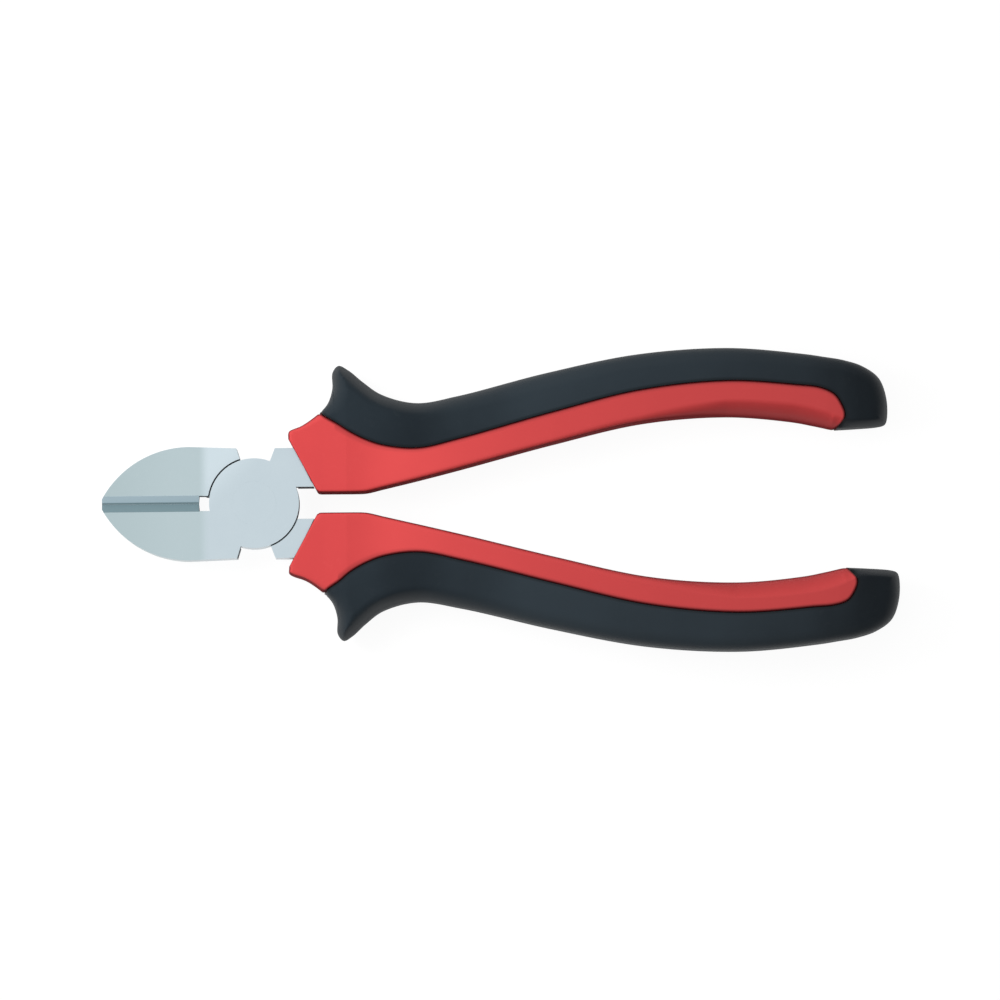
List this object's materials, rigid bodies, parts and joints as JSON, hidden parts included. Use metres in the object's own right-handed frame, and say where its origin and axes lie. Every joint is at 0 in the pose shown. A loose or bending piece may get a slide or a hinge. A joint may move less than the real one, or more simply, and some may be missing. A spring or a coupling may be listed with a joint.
{
  "type": "diagonal cutting pliers",
  "caption": "Hand pliers with lapped steel halves on a flush rivet, bevelled cutting jaws beside a round joint, and curved two-tone grips with a finger guard.",
  "frame": {"origin": "on the pivot axis, in the flat back face of the lap joint", "axes": "+X from the pivot towards the handle ends, -X towards the jaw tips, +Y towards the upper handle, +Z out of the front face of the joint"},
  "size_m": [0.1593, 0.0608, 0.0142],
  "materials": {
    "satin_steel": "satin plated",
    "rivet_steel": "ground flush and plated",
    "red_sleeve": "satin moulded",
    "black_cover": "fine matt"
  },
  "bodies": {
    "front_lever": {"front_half": "satin_steel", "pivot_rivet": "rivet_steel", "upper_sleeve": "red_sleeve", "upper_overmould": "black_cover"},
    "rear_lever": {"rear_half": "satin_steel", "lower_sleeve": "red_sleeve", "lower_overmould": "black_cover"}
  },
  "joints": [
    {"name": "jaw_pivot", "type": "hinge", "parent": "front_lever", "child": "rear_lever", "pos_m": [0, 0, 0], "axis": [0, 0, -1], "range_deg": [0, 37]}
  ]
}
